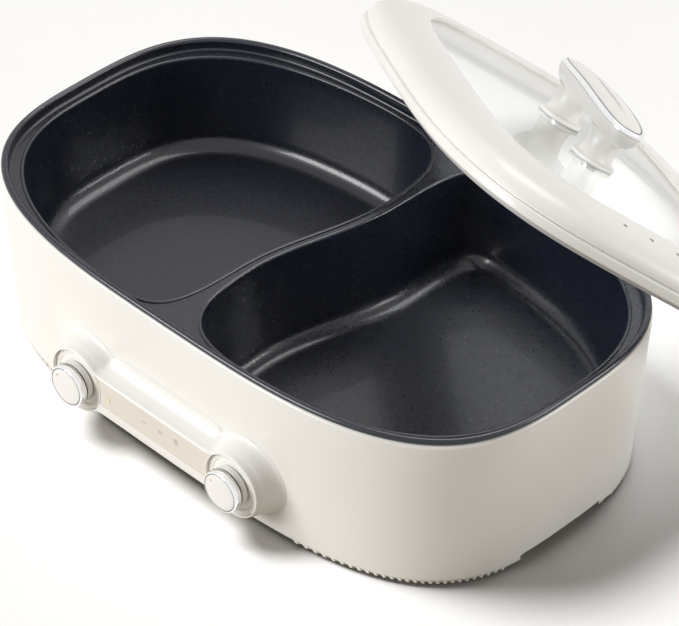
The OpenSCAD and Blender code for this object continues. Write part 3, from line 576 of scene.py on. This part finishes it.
# The ledge between the three skins is filled, and the whole skin turned to face up.
bpy.ops.object.mode_set(mode="EDIT")
bpy.ops.mesh.select_mode(type="EDGE")
bpy.ops.mesh.select_all(action="DESELECT")
mesh = bmesh.from_edit_mesh(pot.data)
for edge in mesh.edges:
    level = all(abs(vert.co.z - LEDGE * MM) < 0.00002 for vert in edge.verts)
    edge.select = level and len(edge.link_faces) == 1
bmesh.update_edit_mesh(pot.data)
bpy.ops.mesh.fill()
bpy.ops.mesh.select_mode(type="VERT")
bpy.ops.mesh.select_all(action="SELECT")
bpy.ops.mesh.remove_doubles(threshold=0.00001)
bpy.ops.mesh.normals_make_consistent(inside=False)
bpy.ops.object.mode_set(mode="OBJECT")
up = sum(face.normal.z * face.area for face in pot.data.polygons)
if up < 0:
    choose(pot)
    bpy.ops.object.mode_set(mode="EDIT")
    bpy.ops.mesh.select_all(action="SELECT")
    bpy.ops.mesh.flip_normals()
    bpy.ops.object.mode_set(mode="OBJECT")
press(pot, "SOLIDIFY", thickness=POT_SKIN * MM, offset=-1, use_even_offset=False)
dress(pot, "base", "pot_coating", pot_coating, "inner_pot", angle=40)

# ---- controls -----------------------------------------------------------------------
def housing_ring(grow, widen, share, front=PANEL_Y):
    """The dog-bone outline from the shell's wall, share 0, to the flat front, share 1."""
    ring = []
    for x, _, z in dogbone(grow, 0, widen):
        taper = TAPER * (RIM - z) / (RIM - SKIRT)
        wall_y = (BODY_W / 2 - taper) * (1 - (abs(x) / (BODY_L / 2 - taper)) ** CORNER) ** (1 / CORNER) + 0.1
        ring.append((x, -wall_y - share * (front - wall_y), z))
    return ring


wall_to_front = flowing([(4.5, 5.5, 0), (2.8, 4, 0.07), (1.4, 3, 0.2), (0.4, 1.9, 0.36), (-0.3, 1.4, 0.5),
                         (-0.8, 1.2, 0.6)], 3)
wall_to_front += [(-1.05, 1.2, 0.645), (-1.4, 1.25, 0.685), (-1.8, 1.35, 0.74), (-2.3, 1.4, 0.87),
                  (-2.6, 1.35, 0.94), (-2.85, 1.25, 0.975), (-3.2, 1.2, 0.993), (-3.7, 1.2, 1)]
housing = drawn("housing", [
    housing_ring(-3.6, NECK_SPREAD, 1, PANEL_Y - DIAL_DEEP - 2.4), housing_ring(-3, NECK_SPREAD, 0.4),
    housing_ring(1, NECK_SPREAD, 0)] + [housing_ring(*p) for p in wall_to_front])


def neck_block(name, low, high, d):
    """The neck's front between the two dials, as a solid to cut with or to show, smaller by d."""
    solid = drawn(name, [dogbone(-INSERT_EDGE - d, y, NECK_SPREAD) for y in (low, high)])
    back_y, front_y, end = -low + 5, -high - 5, INSERT_HALF - d
    carve(solid,
          block("side", (-110, front_y, 0), (-end, back_y, 90)), block("side", (end, front_y, 0), (110, back_y, 90)),
          block("below", (-120, front_y, 0), (120, back_y, KNOB_Z - INSERT_LOW + d)),
          *[cylinder("dial", DIAL_RIM + d, 40, (s * KNOB_X, -(low + high) / 2, KNOB_Z), FACING, 96) for s in (-1, 1)])
    return solid


carve(housing, neck_block("cutter", PANEL_Y - INSERT_DEEP, PANEL_Y + 4, 0))
for side in (-1, 1):
    carve(housing, cylinder("dial", DIAL_R + 0.2, 12, (side * KNOB_X, -PANEL_Y + DIAL_DEEP - 6, KNOB_Z), FACING, 128))
    carve(housing, cylinder("switch", SWITCH_HOLE_R, 60, (side * KNOB_X, -PANEL_Y + 15, KNOB_Z), FACING))
dress(housing, "base", "shell_cream", shell_cream, "control_housing", "control_plate", angle=28)

insert = neck_block("insert", PANEL_Y - INSERT_DEEP, PANEL_Y - 0.25, 0.1)
carve(insert, cylinder("lens", LENS_R, 20, (-40, -PANEL_Y, KNOB_Z + 1), FACING, 32))
dress(insert, "base", "panel_beige", panel_beige, "panel_insert")

# Three plain marks on the insert: one bar, two bars and three bars for low, middle and high heat
for bars, x in ((1, -7.5), (2, 6.8), (3, 21)):
    marks = []
    for k in range(bars):
        low, high = KNOB_Z + 3 + 1.5 * k, KNOB_Z + 3.6 + 1.5 * k
        marks.append(block("mark", (x - 1.8, -PANEL_Y + 0.2, low), (x + 1.8, -PANEL_Y + 0.26, high)))
    dress(join("panel_mark_" + str(bars), marks), "base", "panel_beige", mark_grey)

for side, word in ((-1, "left"), (1, "right")):
    x = side * KNOB_X
    dial = drawn("dial_ring_" + word, facing_front(
        [(8.8, 0), (DIAL_R, 0), (DIAL_R, 1.6), (DIAL_R - 0.15, 2.0), (DIAL_R - 0.6, 2.25), (DIAL_R - 3.2, 2.25),
         (DIAL_R - 3.6, 2.1), (DIAL_R - 3.8, 1.75), (DIAL_R - 4.1, 1.7), (DIAL_R - 4.4, 1.9),
         (DIAL_R - 5.0, 2.0), (9.8, 2.0), (9.0, 1.7), (8.8, 1.2)], x, PANEL_Y - DIAL_DEEP), "hoop")
    dress(dial, "base", "dial_cream", dial_cream, "dial_ring_" + word)
    ticks = []
    for i in range(TICKS):
        inner = DIAL_R - (2.2 if i % LONG_EVERY else 2.9)
        tick = block("tick", (-0.16, -0.04, inner), (0.16, 0.04, DIAL_R - 1.0))
        tick.rotation_euler = (0, math.radians(SWEEP * i / (TICKS - 1) - SWEEP / 2), 0)
        tick.location = Vector((x, -PANEL_Y + DIAL_DEEP - 2.26, KNOB_Z)) * MM
        settle(tick)
        ticks.append(tick)
    dress(join("dial_ticks_" + word, ticks), "base", "dial_cream", mark_grey)

    # The knob from its back: base, a black ring of painted shade and dark reflection, chrome band, a black line of
    # painted shade and dark reflection, cap and dot
    body = "knob_" + word
    face = PANEL_Y + KNOB_BACK
    step = KNOB_LEN - 6.4     # where the white skirt ends and the band begins
    base = drawn("knob_base_" + word, facing_front(
        [(8.6, 0), (13.3, 0), (13.7, 0.2), (13.95, 0.7), (14.1, step - 0.4), (13.9, step), (12.75, step + 0.05),
         (12.75, KNOB_LEN - 3.2), (KNOB_BORE, KNOB_LEN - 3.2), (KNOB_BORE, 1.6), (8.6, 1.6)], x, face), "hoop")
    dress(base, body, "knob_white", knob_white, "knob_base_" + word)
    # A thin black ring behind the chrome band: painted shade and painted dark reflection
    gap = drawn("knob_painted_shade_ring_" + word, facing_front(
        [(12.8, step + 0.1), (13.8, step + 0.1), (13.8, step + 1.0), (12.8, step + 1.0)], x, face), "hoop")
    dress(gap, body, "chrome_trim", painted_shade_black)
    band = drawn("knob_ring_" + word, facing_front(
        [(12.8, step + 1.0), (14.0, step + 1.0), (14.3, step + 1.2), (KNOB_R, step + 1.6), (KNOB_R, KNOB_LEN - 1.5),
         (14.3, KNOB_LEN - 1.0), (14.05, KNOB_LEN - 0.5), (13.6, KNOB_LEN - 0.15), (13.1, KNOB_LEN - 0.1),
         (13.05, KNOB_LEN - 0.5), (12.8, KNOB_LEN - 0.7)], x, face), "hoop")
    dress(band, body, "chrome_trim", chrome, "knob_ring_" + word)
    # A thin black line between the chrome band and the cap: painted shade and painted dark reflection
    line = drawn("knob_painted_shade_line_" + word, facing_front(
        [(12.62, KNOB_LEN - 0.6), (13.04, KNOB_LEN - 0.6), (13.04, KNOB_LEN - 0.14), (12.62, KNOB_LEN - 0.14)],
        x, face), "hoop")
    dress(line, body, "chrome_trim", painted_shade_black)
    cap = drawn("knob_cap_" + word, facing_front(
        [(CAP_R, KNOB_LEN - 3.2), (CAP_R, KNOB_LEN - 0.3), (CAP_R - 0.1, KNOB_LEN - 0.1),
         (CAP_R - 0.4, KNOB_LEN + 0.02), (9, KNOB_LEN + 0.2), (5, KNOB_LEN + 0.3), (1, KNOB_LEN + 0.34)], x, face))
    dress(cap, body, "knob_white", knob_white, "knob_cap_" + word)
    dot = cylinder("knob_dot_" + word, 0.75, 0.3, (
        x - DOT_REACH * math.sin(DOT_TURN), -face - KNOB_LEN - 0.12, KNOB_Z + DOT_REACH * math.cos(DOT_TURN)),
        FACING, 24)
    dress(dot, body, "knob_white", dot_gold)

# ---- lid ----------------------------------------------------------------------------
crown = flowing([(1.5, 7.9), (2.2, 11), (5, LID_H - 9.6), (11, LID_H - 5.2), (22, LID_H - 1.8),
                 (FRAME_W - 8.5, LID_H - 0.2), (FRAME_W - 0.9, LID_H)], 5)
lid_frame = drawn("lid_frame", [lid_ring(i, z) for i, z in
    [(SEAL_IN + SEAL_W, 0), (0.9, 0), (0.3, 0.2), (0, 0.8), (0, 5.1), (0.15, 5.6), (0.6, 5.95), (2.1, 6.15),
     (2.35, 6.5), (2.3, 7), (1.8, 7.4)] + crown +
    [(FRAME_W - 0.3, LID_H - 0.15), (FRAME_W, LID_H - 0.6), (FRAME_W, GLASS_TOP + 0.1),
     (FRAME_W - GLASS_SEAT, GLASS_TOP + 0.1), (FRAME_W - GLASS_SEAT, GLASS_TOP - GLASS_T),
     (20, LID_H - 6.8), (8.6, LID_H - 11.8), (5, 8), (5, 2.4), (SEAL_IN + SEAL_W, 2.4)]], "hoop")
carve(lid_frame, *[cylinder("vent", VENT_R, 30, (LID_A - VENT_IN, y, LID_H - 4), sides=32)
                   for y in (-VENT_STEP, 0, VENT_STEP)])
lean(lid_frame)
dress(lid_frame, "lid", "lid_cream", lid_cream, "lid_frame")

pane_in = FRAME_W - GLASS_SEAT + 0.3
pane = drawn("lid_glass", [lid_ring(i, z) for i, z in (
    (pane_in + 0.5, GLASS_TOP - GLASS_T), (pane_in, GLASS_TOP - GLASS_T + 0.5), (pane_in, GLASS_TOP - 0.5),
    (pane_in + 0.5, GLASS_TOP))])
carve(pane, *[cylinder("bolt_hole", GLASS_HOLE_R, 30, (s * PILLAR_X, 0, GLASS_TOP), sides=32) for s in (-1, 1)])
lean(pane)
dress(pane, "lid", "lid_glass", glass, "lid_glass")

seal = drawn("lid_seal", [lid_ring(SEAL_IN + i, z) for i, z in (
    (0, 0), (0, -0.7), (0.35, -1.0), (0, -1.3), (0, -1.8), (0.35, -2.1), (0, -2.4), (0.6, -SEAL_H),
    (SEAL_W - 0.6, -SEAL_H), (SEAL_W, -2.4), (SEAL_W, 0))], "hoop")
lean(seal)
dress(seal, "lid", "seal_silicone", silicone, "lid_seal")

# ---- handle --------------------------------------------------------------------------
base_z = GLASS_TOP + 0.8
bridge = drawn("handle_bridge", [handle_ring(*p) for p in (
    (-12, HANDLE_H - 11, 0.4), (-9, HANDLE_H - 10.9, 0.4), (-6.5, HANDLE_H - 10.2, 0.5),
    (-4.2, HANDLE_H - 8.8, 0.6), (-2.2, HANDLE_H - 6.5, 0.8), (-0.9, HANDLE_H - 4, 0.95),
    (-0.2, HANDLE_H - 1.6), (0, HANDLE_H))])
for side in (-1, 1):
    pillar = drawn("pillar", [round_ring(side * PILLAR_X, 0, r, z) for r, z in [
        (15.2, base_z), (BASE_R, base_z + 0.4), (BASE_R, base_z + 1.5), (15.3, base_z + 2.0)] + flowing([
        (14.6, base_z + 2.4), (12.4, base_z + 3.6), (WAIST_R + 0.2, base_z + 7), (WAIST_R, base_z + 12),
        (WAIST_R + 0.9, base_z + 17), (WAIST_R + 2.4, base_z + 21)], 3) + [(8, base_z + 24)]])
    weld(bridge, pillar)
    carve(bridge, cylinder("bolt_hole", BOLT_HOLE_R, 40, (side * PILLAR_X, 0, base_z - 3), sides=32))
lean(bridge)
dress(bridge, "lid", "lid_cream", lid_cream, "handle_bridge")

TRIM_TOP = HANDLE_H + TRIM_H
trim = drawn("handle_trim", [handle_ring(*p) for p in (
    (-1, HANDLE_H), (-0.1, HANDLE_H + 0.1), (0.25, HANDLE_H + 0.45), (0.3, TRIM_TOP - 1.1),
    (0.1, TRIM_TOP - 0.5), (-0.4, TRIM_TOP - 0.1), (-1.2, TRIM_TOP), (-2.8, TRIM_TOP),
    (-3, TRIM_TOP - 0.2), (-3, HANDLE_H))], "hoop")
lean(trim)
dress(trim, "lid", "chrome_trim", chrome, "handle_trim")
pad = drawn("handle_pad", [handle_ring(*p) for p in (
    (-3.2, HANDLE_H + 0.05), (-3.2, TRIM_TOP - 0.3), (-3.5, TRIM_TOP + 0.2), (-4.4, TRIM_TOP + 0.65),
    (-6, TRIM_TOP + 1.15), (-9, TRIM_TOP + 1.7), (-12.5, TRIM_TOP + 2.0), (-15.5, TRIM_TOP + 2.08))])
lean(pad)
dress(pad, "lid", "lid_cream", lid_cream, "handle_pad")
# A thin black strip along the trim's top edge: painted shade where the pad meets the trim
line = drawn("handle_painted_shade_line", [handle_ring(*p) for p in (
    (-2.35, TRIM_TOP - 0.1), (-2.45, TRIM_TOP + 0.14), (-3.0, TRIM_TOP + 0.22),
    (-3.35, TRIM_TOP + 0.1), (-3.35, TRIM_TOP - 0.1))], "hoop")
lean(line)
dress(line, "lid", "chrome_trim", painted_shade_black)

# ---- floor, light and camera ------------------------------------------------------------
clear()
bpy.ops.mesh.primitive_plane_add(size=30, location=(0, 0, -0.0002))
floor = bpy.context.object
floor.name = "floor"


def seen_directly(tree):
    """1 for a ray that the camera, a mirror or a pane sends, 0 for light on its way to a dull surface."""
    rays = tree.nodes.new("ShaderNodeLightPath")
    seen = rays.outputs["Is Camera Ray"]
    for kind in ("Is Glossy Ray", "Is Transmission Ray"):
        either = tree.nodes.new("ShaderNodeMath")
        either.operation = "MAXIMUM"
        tree.links.new(seen, either.inputs[0])
        tree.links.new(rays.outputs[kind], either.inputs[1])
        seen = either.outputs[0]
    return seen


# The floor looks paper white, but gives dull surfaces only a darker, warmer light back
FLOOR, FLOOR_BOUNCE = (0.80, 0.795, 0.79), (0.34, 0.295, 0.24)
white, shader = new_finish("floor_pale", FLOOR, 0.75)
tree = white.node_tree
pick = tree.nodes.new("ShaderNodeMix")
pick.data_type = "RGBA"
tree.links.new(seen_directly(tree), pick.inputs["Factor"])
MIX_A, MIX_B, MIX_OUT = 6, 7, 2     # the colour sockets of a Mix node
pick.inputs[MIX_A].default_value = (*FLOOR_BOUNCE, 1)
paint = drifting(white, noise(white, at_object(white), 2, 2), FLOOR, 0.01)
tree.links.new(paint, pick.inputs[MIX_B])
tree.links.new(pick.outputs[MIX_OUT], shader.inputs["Base Color"])
floor.data.materials.append(white)

# The room: a faint warm fill for dull surfaces, white paper for the eye and for mirrors
world = bpy.data.worlds.new("studio")
bpy.context.scene.world = world
world.use_nodes = True
tree = world.node_tree
fill = tree.nodes["Background"]
fill.inputs["Color"].default_value = (1.0, 0.935, 0.85, 1)
fill.inputs["Strength"].default_value = 0.16
paper = tree.nodes.new("ShaderNodeBackground")
paper.inputs["Color"].default_value = (1, 1, 1, 1)
mix = tree.nodes.new("ShaderNodeMixShader")
tree.links.new(seen_directly(tree), mix.inputs["Fac"])
tree.links.new(fill.outputs["Background"], mix.inputs[1])
tree.links.new(paper.outputs["Background"], mix.inputs[2])
tree.links.new(mix.outputs["Shader"], tree.nodes["World Output"].inputs["Surface"])


SUN_WIDTH = 22


def softbox(name, at, aim, size, power, floor_state):
    """A soft lamp, or a broad sun where size is None.

    INCLUDE lights the floor alone, EXCLUDE all but the floor.
    """
    bpy.ops.object.light_add(type="AREA" if size else "SUN", location=at)
    lamp = bpy.context.object
    lamp.name = name
    if size:
        lamp.data.shape = "RECTANGLE"
        lamp.data.size, lamp.data.size_y = size
    else:
        lamp.data.angle = math.radians(SUN_WIDTH)
    lamp.data.energy = power
    lamp.rotation_euler = (Vector(at) - Vector(aim)).to_track_quat("Z", "Y").to_euler()
    lit = bpy.data.collections.new(name + "_lit")
    lit.objects.link(floor)
    lit.collection_objects[0].light_linking.link_state = floor_state
    lamp.light_linking.receiver_collection = lit


softbox("lamp_key", (-1.0, -2.1, 1.2), (0, 0, 0.06), (1.4, 1.0), 58, "EXCLUDE")
softbox("lamp_over", (-0.2, 1.0, 2.0), (0.05, 0.1, 0.1), (1.5, 1.0), 21, "EXCLUDE")
softbox("lamp_right", (1.85, 1.2, 0.9), (0.1, 0, 0.1), (0.9, 0.9), 21, "EXCLUDE")
softbox("lamp_floor", (-0.5, -0.35, 0.95), (0, 0, 0), None, 3.75, "INCLUDE")

# The camera's side, distance, roll, focal length and shift, solved from outlines; lengths in pixels
# are shares of the picture's width
back = Vector((0.5402, -0.5501, 0.6369)).normalized()
target = Vector((0.0638, -0.0576, 0.124))
DISTANCE, ROLL, FOCAL, SENSOR, PICTURE_W = 2.452, 0.64, 4018.8, 36, 679
bpy.ops.object.camera_add(location=target + back * DISTANCE)
camera = bpy.context.object
camera.name = "camera"
right = Vector((0, 0, 1)).cross(back).normalized()
upward = back.cross(right)
pose = Matrix((right, upward, back)).transposed()
camera.rotation_euler = (pose @ Matrix.Rotation(math.radians(ROLL), 3, "Z")).to_euler()
camera.data.lens = FOCAL * SENSOR / PICTURE_W
camera.data.sensor_width = SENSOR
camera.data.sensor_fit = "HORIZONTAL"
camera.data.shift_x = 12.5 / PICTURE_W
camera.data.shift_y = 0.3 / PICTURE_W
camera.data.clip_end = 100
bpy.context.scene.camera = camera
bpy.context.scene.view_settings.view_transform = "Standard"
